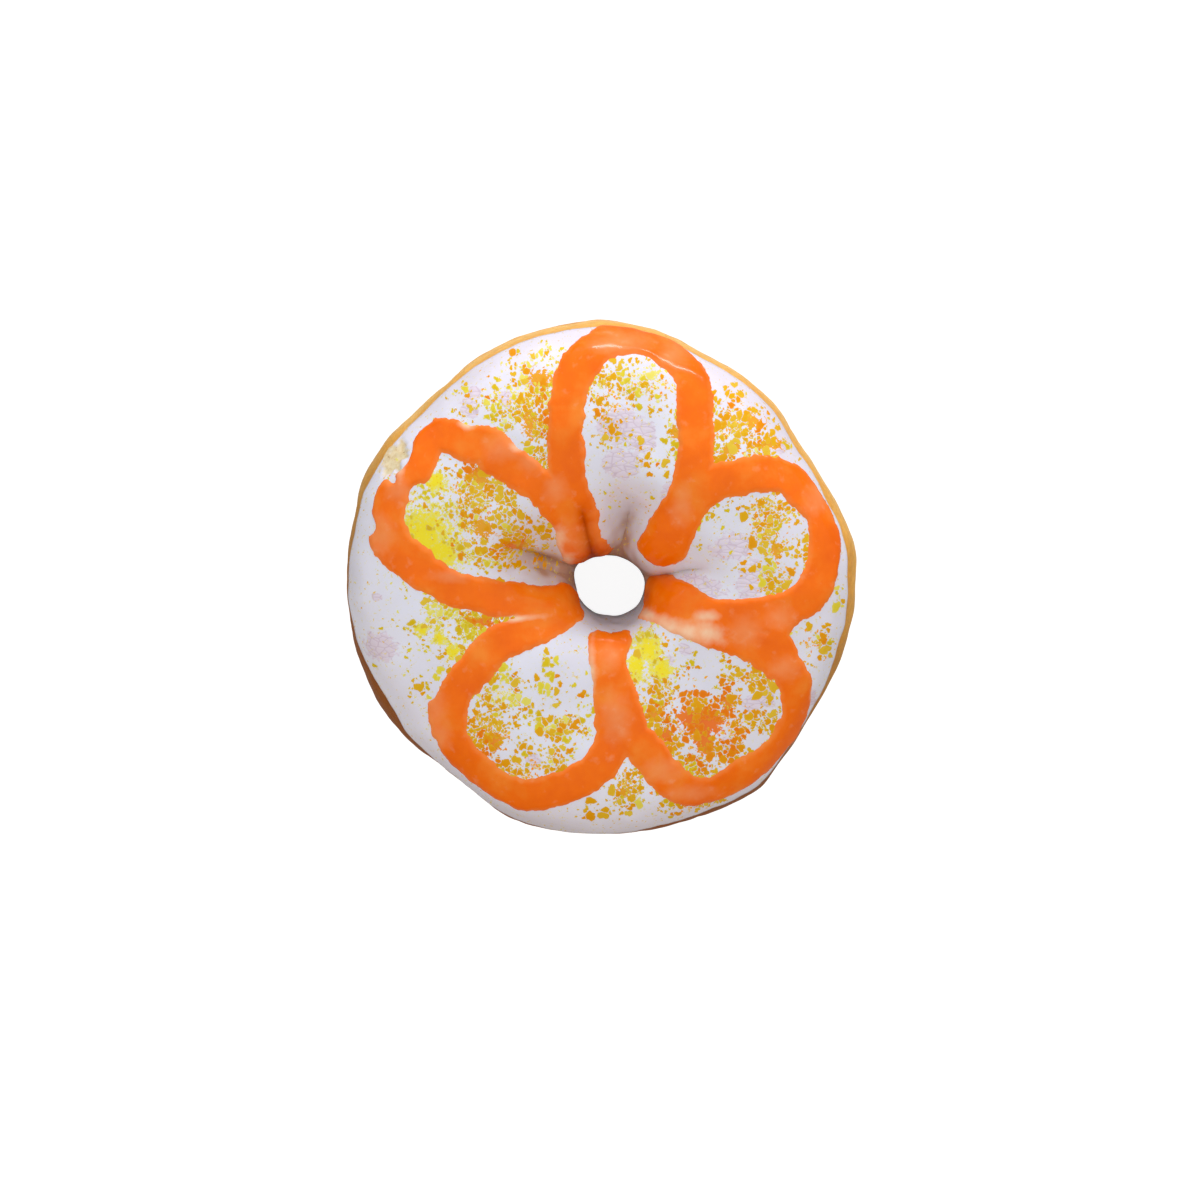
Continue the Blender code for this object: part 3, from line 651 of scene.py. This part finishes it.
PEACH = (
    (8.6, -3.9, 2.4, 1.2), (11.6, -4.9, 3.0, 1.7), (15.0, -5.4, 3.2, 2.0), (18.4, -5.0, 2.8, 2.0),
    (18.4, -2.0, 2.0, 1.0), (-9.2, 11.6, 1.0, 3.4), (-7.6, 8.4, 1.0, 1.4), (-3.2, -13.0, 0.8, 4.5),
    (-17.0, -3.0, 3.6, 0.5), (-44.2, 16.4, 0.8, 1.4), (-37.8, 24.2, 1.0, 1.2), (-25.4, 32.6, 1.2, 0.8),
    (37.0, -17.4, 0.8, 1.4), (-16.4, 29.2, 1.6, 0.7),
)
HAZE = (
    (2.2, -23.6, 1.8, 1.2), (-14.0, 27.0, 3.0, 2.6), (31.0, -2.0, 2.8, 2.5), (1.2, -20.6, 3.0, 5.0),
    (31.8, -11.6, 3.0, 2.4), (-31.6, -19.4, 2.4, 4.2), (-19.0, 29.0, 4.0, 2.6), (9.6, -30.6, 3.6, 2.6),
    (0.2, -10.4, 2.2, 2.2), (25.0, -4.6, 3.4, 3.2), (13.5, 18.5, 2.0, 4.0), (-8.6, 11.6, 2.4, 5.0),
    (-41.4, 12.4, 2.8, 4.4), (-38.0, 21.0, 2.6, 2.4), (14.8, -34.8, 5.0, 1.8), (-31.0, -24.0, 2.6, 3.4),
    (14.0, -4.6, 5.6, 1.8), (2.0, 46.8, 6.0, 2.2), (11.4, 44.4, 3.0, 2.4), (-38.6, 2.4, 4.0, 2.0),
    (-29.0, 5.4, 4.0, 1.4), (37.0, 18.4, 2.4, 3.0), (-10.0, 21.8, 2.6, 2.6),
)
record(line, "peach", near(points, PEACH))
record(line, "haze", near(points, HAZE))
# Painted shade in the orange: how deep the folds are there, which darkens its colour.
record(line, "fold_shade", np.clip(pinched(points[:, 0], points[:, 1]) / 2.0, 0.0, 1.0))
tool = bmesh.new()
tool.from_mesh(line_mesh)
tool.verts.ensure_lookup_table()
off = [tool.verts[index] for index in np.flatnonzero(border < -LINE_SUNK)]
bmesh.ops.delete(tool, geom=off, context="VERTS")
bmesh.ops.remove_doubles(tool, verts=tool.verts, dist=0.00001)
bmesh.ops.recalc_face_normals(tool, faces=tool.faces)
if sum(face.normal.z * face.calc_area() for face in tool.faces) < 0.0:
    bmesh.ops.reverse_faces(tool, faces=tool.faces)
tool.to_mesh(line_mesh)
tool.free()
line_mesh.shade_smooth()
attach(line, "root")
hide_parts("icing")

# Coloured sugar icing: the same icing with an orange food colour, glossy and a little clear, so it is lighter at its
# border, and goes to peach where it lies thin over the white. In the folds at the hole it is painted darker, as the
# shade that falls in them.
tree, shader = finish("orange_sugar_icing", line)
where = add(tree, "ShaderNodeTexCoord").outputs["Object"]
inward, peach, haze, fold_shade = (
    add(tree, "ShaderNodeAttribute", attribute_name=name).outputs["Fac"]
    for name in ("border", "peach", "haze", "fold_shade")
)
cloud = add(tree, "ShaderNodeTexNoise", {"Scale": 130.0, "Detail": 4.0, "Roughness": 0.6}, {"Vector": where})
orange = add(
    tree, "ShaderNodeValToRGB", links={"Fac": cloud.outputs["Fac"]},
    stops=[(0.3, tint("#F86A00")), (0.72, tint("#FF8A26")), (0.5, tint("#FF7400"))],
)
# Painted shade: a darker brown-orange in the folds that run into the hole.
amber_pools_and_fold_shade = add(tree, "ShaderNodeMath", {1: 0.95}, {0: fold_shade}, operation="MULTIPLY")
deep_in_folds = add(
    tree, "ShaderNodeMix", {7: tint("#B44400")}, {0: amber_pools_and_fold_shade.outputs[0], 6: orange.outputs["Color"]}, data_type="RGBA",
)
fringe = add(tree, "ShaderNodeMapRange", {"From Max": 0.9, "To Min": 0.45, "To Max": 0.0}, {"Value": inward})
lighter = add(
    tree, "ShaderNodeMix", {7: tint("#FF9A4E")}, {0: fringe.outputs[0], 6: deep_in_folds.outputs[2]}, data_type="RGBA",
)
soft = add(tree, "ShaderNodeTexNoise", {"Scale": 500.0, "Detail": 3.0}, {"Vector": where})
soft = add(tree, "ShaderNodeMath", {1: 0.9, 2: -0.45}, {0: soft.outputs["Fac"]}, operation="MULTIPLY_ADD")
hazed = add(tree, "ShaderNodeMath", links={0: soft.outputs[0], 1: haze}, operation="ADD")
hazed = add(
    tree, "ShaderNodeMapRange", {"From Min": 0.2, "From Max": 1.1, "To Max": 0.6}, {"Value": hazed.outputs[0]}
)
hazy = add(
    tree, "ShaderNodeMix", {7: tint("#FFA064")}, {0: hazed.outputs[0], 6: lighter.outputs[2]}, data_type="RGBA",
)
thinned = add(tree, "ShaderNodeMath", links={0: soft.outputs[0], 1: peach}, operation="ADD")
thinned = add(
    tree, "ShaderNodeMapRange", {"From Min": 0.1, "From Max": 1.1, "To Max": 0.95}, {"Value": thinned.outputs[0]}
)
washed = add(
    tree, "ShaderNodeMix", {7: tint("#FFD2A8")}, {0: thinned.outputs[0], 6: hazy.outputs[2]}, data_type="RGBA",
)
tree.links.new(washed.outputs[2], shader.inputs["Base Color"])
shader.inputs["Roughness"].default_value = 0.2
shader.inputs["Specular IOR Level"].default_value = 0.1
shader.inputs["Coat Weight"].default_value = 0.16
shader.inputs["Coat Roughness"].default_value = 0.04
pull = add(tree, "ShaderNodeTexNoise", {"Scale": 300.0, "Detail": 3.0}, {"Vector": where})
pulled = add(tree, "ShaderNodeBump", {"Strength": 0.25, "Distance": 0.0003}, {"Height": pull.outputs["Fac"]})
tree.links.new(pulled.outputs[0], shader.inputs["Normal"])

# The colour powder: golden and yellow food colour dusted on the wet icing. Each grain melted into a flat drop of
# 0.4 to 3 mm, and where they lie thick they touch along straight borders with a thin white vein between them.
CLOUDS = (  # x, y, spread each way, how many, middle radius in mm, share of gold
    (6.0, 41.0, 6.5, 2.4, 190, 0.42, 0.6), (0.2, 36.0, 1.4, 5.5, 90, 0.4, 0.95),
    (12.6, 33.0, 1.6, 6.0, 90, 0.42, 0.6), (8.5, 27.0, 2.6, 2.0, 26, 0.55, 0.9), (4.0, 29.0, 5.0, 4.5, 50, 0.34, 0.7),
    (-12.6, 35.0, 3.6, 5.0, 520, 0.38, 0.8), (-11.4, 28.0, 1.6, 3.6, 130, 0.42, 1.0),
    (-19.0, 36.5, 6.0, 3.0, 210, 0.42, 0.45), (-11.0, 43.0, 4.5, 2.4, 90, 0.4, 0.1),
    (23.0, 31.0, 3.4, 4.2, 260, 0.5, 0.97), (29.5, 27.4, 4.0, 1.6, 110, 0.46, 0.85),
    (27.5, 37.0, 5.0, 4.0, 60, 0.42, 0.6), (34.0, 30.0, 3.0, 4.0, 14, 0.6, 0.5),
    (29.4, 16.5, 2.6, 5.0, 330, 0.34, 0.9), (33.5, 9.0, 2.6, 5.0, 90, 0.48, 0.9),
    (27.6, 7.0, 3.0, 4.5, 110, 0.4, 0.7), (20.0, 17.5, 2.6, 3.0, 28, 0.45, 0.5), (29.5, 3.0, 2.6, 1.8, 60, 0.5, 0.95),
    (18.0, -22.0, 4.6, 3.6, 620, 0.56, 0.99), (8.5, -19.0, 2.2, 3.4, 170, 0.42, 0.95),
    (9.6, -25.6, 2.4, 2.4, 110, 0.6, 0.99), (15.0, -15.0, 4.5, 2.2, 70, 0.5, 0.95),
    (26.5, -13.8, 3.2, 2.4, 110, 0.55, 0.97), (29.5, -21.5, 1.6, 4.0, 80, 0.45, 0.85),
    (24.0, -27.0, 4.0, 3.4, 110, 0.45, 0.9), (14.0, -32.0, 3.4, 2.0, 110, 0.45, 0.85),
    (17.0, -28.0, 3.0, 2.6, 90, 0.5, 0.99), (15.8, -38.2, 4.2, 1.3, 70, 0.5, 0.7),
    (3.4, -33.6, 2.2, 3.6, 110, 0.45, 0.9), (9.0, -37.4, 2.4, 1.2, 26, 0.5, 0.9),
    (-1.0, -37.6, 3.2, 1.4, 22, 0.5, 0.9), (-22.4, -23.6, 2.6, 3.4, 330, 0.4, 0.97),
    (-18.6, -29.0, 3.0, 2.0, 90, 0.48, 0.95), (-19.6, -16.4, 2.4, 2.6, 210, 0.36, 0.6),
    (-9.2, -23.4, 3.4, 2.0, 120, 0.5, 0.6), (-12.4, -28.4, 5.0, 3.4, 120, 0.5, 0.92),
    (-13.6, -17.4, 4.0, 4.4, 60, 0.5, 0.5), (-5.0, -19.0, 3.0, 5.0, 24, 0.32, 0.5),
    (-9.5, -12.6, 2.6, 2.0, 16, 0.7, 0.1), (-6.6, -28.4, 2.0, 3.0, 40, 0.5, 0.8),
    (-17.6, 11.6, 4.0, 1.9, 240, 0.44, 1.0), (-21.4, 14.6, 3.0, 3.2, 210, 0.46, 0.98),
    (-22.6, 25.0, 2.8, 2.2, 260, 0.44, 1.0), (-17.4, 21.4, 4.0, 2.0, 210, 0.46, 1.0),
    (-14.6, 17.0, 3.6, 2.6, 60, 0.5, 1.0), (-11.8, 13.8, 1.6, 1.6, 16, 0.8, 0.95),
    (-25.4, 20.0, 3.6, 4.0, 210, 0.34, 0.75), (-31.0, 15.0, 4.6, 5.0, 230, 0.32, 0.2),
    (-24.6, 8.4, 5.0, 2.0, 120, 0.4, 0.55), (-14.0, 6.6, 5.0, 1.6, 26, 0.45, 0.9),
    (-25.6, -3.6, 4.4, 2.6, 380, 0.36, 0.55), (-20.0, -3.4, 4.0, 1.0, 150, 0.34, 0.9),
    (-32.0, -1.6, 3.4, 2.6, 150, 0.36, 0.2), (-28.4, -9.4, 2.6, 2.2, 60, 0.5, 0.5),
    (-34.4, -9.0, 2.6, 5.0, 26, 0.34, 0.4), (-34.0, -16.0, 1.6, 4.0, 36, 0.4, 0.6),
    (38.0, -6.6, 1.8, 2.6, 46, 0.46, 0.6), (39.0, -11.6, 1.4, 2.6, 12, 0.6, 0.95),
    (7.6, -10.4, 3.4, 3.6, 160, 0.4, 0.35), (5.0, -15.4, 2.0, 3.0, 110, 0.4, 0.6),
    (20.5, -9.6, 3.0, 2.0, 24, 0.3, 0.6), (3.0, 19.0, 6.0, 4.0, 16, 0.34, 0.6), (41.6, 1.0, 1.0, 4.0, 10, 0.45, 0.4),
    (0.0, 0.0, 26.0, 26.0, 100, 0.24, 0.3), (17.8, 16.2, 0.5, 0.5, 4, 0.6, 0.6), (17.0, 12.0, 0.4, 0.5, 3, 0.5, 0.6),
    (4.6, 25.7, 0.4, 0.6, 4, 0.5, 1.0), (7.5, 35.7, 0.3, 0.9, 5, 0.5, 1.0), (-2.3, 35.0, 0.3, 1.0, 5, 0.5, 1.0),
    (31.0, 31.5, 0.6, 0.4, 4, 0.5, 0.9), (36.0, 8.2, 0.5, 0.4, 4, 0.5, 1.0), (38.9, -8.0, 0.5, 0.6, 5, 0.5, 1.0),
    (-12.0, -10.2, 0.5, 0.4, 3, 0.5, 0.7), (-7.3, -27.2, 0.5, 0.3, 4, 0.5, 1.0),
    (-12.2, -23.0, 0.6, 0.4, 4, 0.5, 1.0), (28.8, 33.3, 0.5, 0.5, 4, 0.5, 1.0), (-11.8, 13.6, 0.7, 0.9, 6, 0.6, 1.0),
    (-11.5, 10.8, 0.6, 0.4, 3, 0.5, 1.0),
)
DROP_THICK = 0.06
VEIN = 0.08
FLAKES = 5200
OVERLAP = 0.35  # a drop goes where a larger one lies nearer than this share of their two radii
ONTO_LINE = 0.3  # mm that a drop's centre may lie inside the orange
CORNERS = 12


def tree_of(places):
    """A tree that finds the (x, y) places near a point."""
    found = mathutils.kdtree.KDTree(len(places))
    for index, (x, y) in enumerate(places):
        found.insert((x, y, 0.0), index)
    found.balance()
    return found


def scatter_drops():
    """Centre, radius, gold or yellow, tone and flake of each drop. The drops of one flake have run together."""
    draw = np.random.default_rng(4)
    flakes = draw.uniform(-51.0, 51.0, (FLAKES, 2))
    flake_tree = tree_of(flakes)
    flake_gold, flake_tone = draw.random(len(flakes)), draw.random(len(flakes))
    rows = []
    for x, y, wide, high, count, middle, gold in CLOUDS:
        grains = round(count * 0.8)
        spots = draw.normal(size=(count + grains, 2)) * (wide * 0.85, high * 0.85) + (x, y)
        radii = 0.85 * middle * np.exp(draw.normal(size=count) * 0.45)
        radii = np.clip(np.concatenate([radii, draw.uniform(0.13, 0.28, grains)]), 0.13, 1.1)
        flake = np.array([flake_tree.find((x, y, 0.0))[1] for x, y in spots])
        tones = 0.75 * flake_tone[flake] + 0.35 * (radii < 0.3) + draw.normal(size=len(radii)) * 0.06
        tones = np.clip(0.15 + tones - 0.6 * near(spots, STRONG), 0.0, 1.0)
        rows.append(np.column_stack([spots, radii, flake_gold[flake] < gold, tones, flake]))
    rows = np.concatenate(rows)
    away = np.hypot(rows[:, 0], rows[:, 1])
    turn = np.arctan2(rows[:, 1], rows[:, 0])
    rows = rows[(away > around(HOLE, turn) + 2.0) & (away < around(OUTLINE, turn) - 1.6)]
    turn, sweep = place_of(rows[:, 0], rows[:, 1])
    rows = rows[sweep > edges_of_icing(turn)[0] + 0.13]
    chance = 0.6 + 0.7 * ripple(np.column_stack([rows[:, :2], 0.0 * rows[:, 0]]), 5.0, 51)
    chance = chance * (1.0 - near(rows, LEMON)) * (1.0 - 0.8 * near(rows, CRACKLE))
    chance = chance * (1.0 - near(rows, POOLS) ** 2)
    rows = rows[draw.random(len(rows)) < chance]
    return rows[np.argsort(-rows[:, 2])]


drops = scatter_drops()
drop_tree = tree_of(drops[:, :2])
kept = np.ones(len(drops), bool)
for index, (x, y, radius) in enumerate(drops[:, :3]):
    if not kept[index]:
        continue
    for _, other, away in drop_tree.find_range((x, y, 0.0), radius + 0.9):
        if other > index and away < OVERLAP * (radius + drops[other, 2]):
            kept[other] = False
drops = drops[kept]
on_skin = skin(*place_of(drops[:, 0], drops[:, 1]))
drops = drops[inside_line(on_skin) < ONTO_LINE]
drop_tree = tree_of(drops[:, :2])


def lay_drops(name, own):
    """One mesh of these drops, each a low lens whose border stops short of every neighbour that it hasn't joined."""
    draw = np.random.default_rng(len(own))
    rays = np.linspace(0.0, 2 * math.pi, CORNERS, endpoint=False)
    plan = np.zeros((len(own), CORNERS + 2, 2))
    for index, (x, y, radius) in enumerate(own[:, :3]):
        spin = rays + draw.uniform(0, 6.3)
        wave = draw.uniform(0, 6.3, 3)
        reach = radius * (
            1.0 + 0.28 * np.sin(2 * spin + wave[0]) + 0.2 * np.sin(3 * spin + wave[1])
            + 0.1 * np.sin(5 * spin + wave[2])
        )
        ways = np.stack([np.cos(spin), np.sin(spin)], axis=-1)
        for spot, other, away in drop_tree.find_range((x, y, 0.0), radius * 1.5 + 1.6):
            if away < 1e-6 or drops[other, 5] == own[index, 5]:
                continue
            toward = np.array([spot[0] - x, spot[1] - y]) / away
            mine = away * radius / (radius + drops[other, 2]) - VEIN / 2
            facing = ways @ toward
            limit = np.where(facing > 0.05, max(mine, 0.06) / np.maximum(facing, 0.05), 9.0)
            reach = np.minimum(reach, limit)
        plan[index, 2:] = (x, y) + ways * reach[:, None]
        plan[index, :2] = (x, y)
    spots = plan.reshape(-1, 2)
    angle, sweep = place_of(spots[:, 0], spots[:, 1])
    points = skin(angle, sweep)
    outside, inside = edges_of_icing(angle)
    share = (sweep - outside) / (inside - outside)
    lift = cover(points, angle, np.minimum(share, 1.0 - share) * ACROSS)
    lens = np.zeros((len(own), CORNERS + 2))
    lens[:, 0] = np.minimum(DROP_THICK, 0.02 + 0.05 * own[:, 2])
    lens[:, 1] = -0.06
    points = points + outward(angle, sweep) * (lift + lens.ravel() + 0.015)[:, None]
    tool = bmesh.new()
    disc = bmesh.ops.create_circle(tool, segments=CORNERS, radius=1.0)["verts"]
    top = tool.verts.new((0.0, 0.0, 0.2))
    low = tool.verts.new((0.0, 0.0, -0.2))
    for start, end in zip(disc, disc[1:] + disc[:1]):
        tool.faces.new((start, end, top))
        tool.faces.new((end, start, low))
    order = [top, low] + disc
    for index, vert in enumerate(order):
        vert.index = index
    faces = np.array([[vert.index for vert in face.verts] for face in tool.faces])
    tool.free()
    step = np.arange(len(own))[:, None, None] * (CORNERS + 2)
    mesh = bpy.data.meshes.new(name)
    mesh.from_pydata(((points + HOLE_AT) * MM).tolist(), [], (faces[None] + step).reshape(-1, 3).tolist())
    mesh.shade_smooth()
    ends = np.empty(len(mesh.edges) * 2, int)
    mesh.edges.foreach_get("vertices", ends)
    border = (ends.reshape(-1, 2) % (CORNERS + 2) >= 2).all(axis=1)
    mesh.attributes.new("sharp_edge", "BOOLEAN", "EDGE").data.foreach_set("value", border)
    piece = bpy.data.objects.new(name, mesh)
    bpy.context.scene.collection.objects.link(piece)
    record(piece, "tone", np.repeat(own[:, 4], CORNERS + 2))
    record(piece, "rim", np.tile([0.0, 0.0] + [1.0] * CORNERS, len(own)))
    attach(piece, "root")
    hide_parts("icing")
    return piece


gold_drops = lay_drops("golden_powder_drops", drops[drops[:, 3] > 0.5])
pale_drops = lay_drops("yellow_powder_drops", drops[drops[:, 3] < 0.5])

# Melted colour powder: food colour in sugar, a clear film with the gloss of the icing. It is deepest in the middle
# of a drop, and each drop took up more or less colour.
for name, piece, thin_color, stops in (
    ("melted_golden_powder", gold_drops, "#F4CC50", (
        (0.0, "#F07C00"), (1.0, "#E8C83C"), (0.2, "#EA9A00"), (0.55, "#E6AE08"),
    )),
    ("melted_yellow_powder", pale_drops, "#F8F0A8", (
        (0.0, "#DDB208"), (1.0, "#EEE67C"), (0.4, "#DEC214"), (0.75, "#E8D83C"),
    )),
):
    tree, shader = finish(name, piece)
    tone = add(tree, "ShaderNodeAttribute", attribute_name="tone").outputs["Fac"]
    rim = add(tree, "ShaderNodeAttribute", attribute_name="rim").outputs["Fac"]
    hue = add(tree, "ShaderNodeValToRGB", links={"Fac": tone}, stops=[(at, tint(code)) for at, code in stops])
    outer = add(tree, "ShaderNodeMapRange", {"From Min": 0.6, "From Max": 1.0, "To Max": 0.25}, {"Value": rim})
    film = add(
        tree, "ShaderNodeMix", {7: tint(thin_color)}, {0: outer.outputs[0], 6: hue.outputs["Color"]},
        data_type="RGBA",
    )
    tree.links.new(film.outputs[2], shader.inputs["Base Color"])
    shader.inputs["Roughness"].default_value = 0.2
    shader.inputs["Specular IOR Level"].default_value = 0.1
    shader.inputs["Coat Weight"].default_value = 0.05
    shader.inputs["Coat Roughness"].default_value = 0.05

# The table: a pale light table. It shows white, also through the hole, but it throws little light up at the ring.
TABLE = 1.6  # half its side
tool = bmesh.new()
bmesh.ops.create_grid(tool, x_segments=1, y_segments=1, size=TABLE)
table_mesh = bpy.data.meshes.new("light_table")
tool.to_mesh(table_mesh)
tool.free()
table = bpy.data.objects.new("light_table", table_mesh)
bpy.context.scene.collection.objects.link(table)
tree, shader = finish("white_acrylic_sheet", table)
shader.inputs["Base Color"].default_value = tint("#A8A4A0")
shader.inputs["Roughness"].default_value = 0.7
shader.inputs["Specular IOR Level"].default_value = 0.1
shader.inputs["Emission Color"].default_value = (1.0, 1.0, 1.0, 1.0)
seen = add(tree, "ShaderNodeLightPath").outputs["Is Camera Ray"]
lit = add(tree, "ShaderNodeMapRange", {"To Min": 0.02, "To Max": 0.9}, {"Value": seen})
tree.links.new(lit.outputs[0], shader.inputs["Emission Strength"])

# Studio light: a soft dome, brightest above and behind the ring and dim and warm in front of it, and two low
# bright panes at the back that the far slope mirrors.
room = bpy.data.worlds.new("soft_dome")
room.use_nodes = True
tree = room.node_tree
way = add(tree, "ShaderNodeTexCoord").outputs["Generated"]
toward = add(tree, "ShaderNodeVectorMath", {1: (0.05, 0.8, 0.6)}, {0: way}, operation="DOT_PRODUCT")
level = add(
    tree, "ShaderNodeMapRange", {"From Min": -1.0, "From Max": 1.0, "To Min": 0.44, "To Max": 1.16},
    {"Value": toward.outputs["Value"]},
)
hue = add(
    tree, "ShaderNodeValToRGB", links={"Fac": level.outputs[0]},
    stops=[(0.46, tint("#FFC49A")), (0.97, tint("#F0F7FF"))],
)
tree.links.new(hue.outputs["Color"], tree.nodes["Background"].inputs["Color"])
tree.links.new(level.outputs[0], tree.nodes["Background"].inputs["Strength"])
bpy.context.scene.world = room
PANE_AIM = mathutils.Vector((0.0, 0.0, 0.02))
PANE_HEIGHT = 0.06
for name, at, wide in (("left_pane", (0.02, 0.62, 0.05), 0.15), ("right_pane", (0.24, 0.58, 0.05), 0.17)):
    lamp = bpy.data.lights.new(name, "AREA")
    lamp.shape = "RECTANGLE"
    lamp.size, lamp.size_y, lamp.energy = wide, PANE_HEIGHT, 1.0
    lamp.color = tint("#FFE4EC")[:3]
    stand = bpy.data.objects.new(name, lamp)
    stand.location = at
    stand.rotation_euler = (PANE_AIM - mathutils.Vector(at)).to_track_quat("-Z", "Y").to_euler()
    bpy.context.scene.collection.objects.link(stand)
bpy.context.scene.view_settings.view_transform = "Standard"

# The camera looks almost straight down, leaning 9 degrees from behind the ring, with a long lens.
LEAN = math.radians(9.0)
FAR = 1.0
FRAME_WIDTH = 1200 * 0.000187  # the whole frame is 1200 pixels of 0.187 mm
SENSOR = 36.0
aim = mathutils.Vector((-0.0003, -0.00435, 0.014))
eye = bpy.data.cameras.new("camera")
eye.sensor_width = SENSOR
eye.lens = SENSOR * FAR / FRAME_WIDTH
camera = bpy.data.objects.new("camera", eye)
camera.location = aim + FAR * mathutils.Vector((0.0, math.sin(LEAN), math.cos(LEAN)))
camera.rotation_euler = (-LEAN, 0.0, 0.0)
bpy.context.scene.collection.objects.link(camera)
bpy.context.scene.camera = camera
